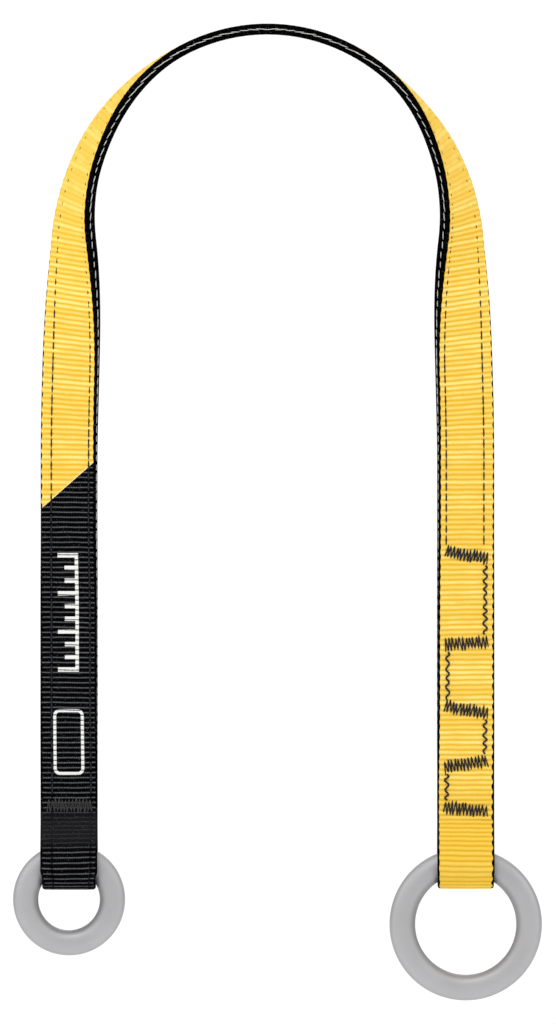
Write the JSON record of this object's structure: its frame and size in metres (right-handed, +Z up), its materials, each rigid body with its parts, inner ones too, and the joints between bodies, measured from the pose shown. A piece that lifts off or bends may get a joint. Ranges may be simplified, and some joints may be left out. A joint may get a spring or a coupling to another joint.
{
  "type": "friction saver strap",
  "caption": "Doubled webbing strap, edge-stitched, arched to lie over a limb, with a small and a large aluminium ring in its end eyes for a climbing rope.",
  "frame": {"origin": "middle of the strap's inner face at the top of the arch, where it bears on the limb", "axes": "+Z up, +X from the small ring to the large ring, -Y towards the side that the outer faces of the legs face"},
  "size_m": [0.2408, 0.0264, 0.4455],
  "materials": {
    "yellow_webbing": "ribbed polyester webbing",
    "black_webbing": "ribbed polyester webbing, printed black",
    "black_thread": "bonded sewing thread",
    "pale_thread": "bonded sewing thread",
    "white_print": "screen-printed marks",
    "aluminium": "satin, tumbled and clear anodised"
  },
  "bodies": {
    "strap_arch": {"arch_outer_webbing": "yellow_webbing", "arch_inner_webbing": "yellow_webbing", "arch_near_edge_thread": "pale_thread", "arch_far_edge_thread": "pale_thread", "arch_near_stitch_row": "black_thread", "arch_far_stitch_row": "black_thread"},
    "left_leg": {"left_leg_outer_webbing": "black_webbing", "left_leg_inner_webbing": "black_webbing", "left_leg_near_edge_thread": "pale_thread", "left_leg_far_edge_thread": "pale_thread", "left_leg_near_stitch_row": "black_thread", "left_leg_far_stitch_row": "black_thread", "small_ring_eye": "black_webbing", "left_bar_tack": "black_thread", "left_scale_print": "white_print", "left_label_print": "white_print"},
    "right_leg": {"right_leg_outer_webbing": "yellow_webbing", "right_leg_inner_webbing": "yellow_webbing", "right_leg_near_edge_thread": "pale_thread", "right_leg_far_edge_thread": "pale_thread", "right_leg_near_stitch_row": "black_thread", "right_leg_far_stitch_row": "black_thread", "large_ring_eye": "yellow_webbing", "right_bar_tack_1": "black_thread", "right_bar_tack_2": "black_thread", "right_bar_tack_3": "black_thread", "right_bar_tack_4": "black_thread", "right_bar_tack_5": "black_thread", "right_link_zigzag_1": "black_thread", "right_link_zigzag_2": "black_thread", "right_link_zigzag_3": "black_thread", "right_link_zigzag_4": "black_thread"},
    "small_ring_body": {"small_ring": "aluminium"},
    "large_ring_body": {"large_ring": "aluminium"}
  },
  "joints": [
    {"name": "left_leg_flex", "type": "hinge", "parent": "strap_arch", "child": "left_leg", "pos_m": [-0.0903, 0, -0.221], "axis": [1, 0, 0], "range_deg": [-30, 30], "stiffness_Nm_per_rad": 0.06},
    {"name": "right_leg_flex", "type": "hinge", "parent": "strap_arch", "child": "right_leg", "pos_m": [0.0903, 0, -0.221], "axis": [1, 0, 0], "range_deg": [-30, 30], "stiffness_Nm_per_rad": 0.06},
    {"name": "small_ring_swing", "type": "hinge", "parent": "left_leg", "child": "small_ring_body", "pos_m": [-0.0903, 0, -0.3777], "axis": [1, 0, 0], "range_deg": [-45, 45]},
    {"name": "large_ring_swing", "type": "hinge", "parent": "right_leg", "child": "large_ring_body", "pos_m": [0.0903, 0, -0.378], "axis": [1, 0, 0], "range_deg": [-80, 80]}
  ]
}
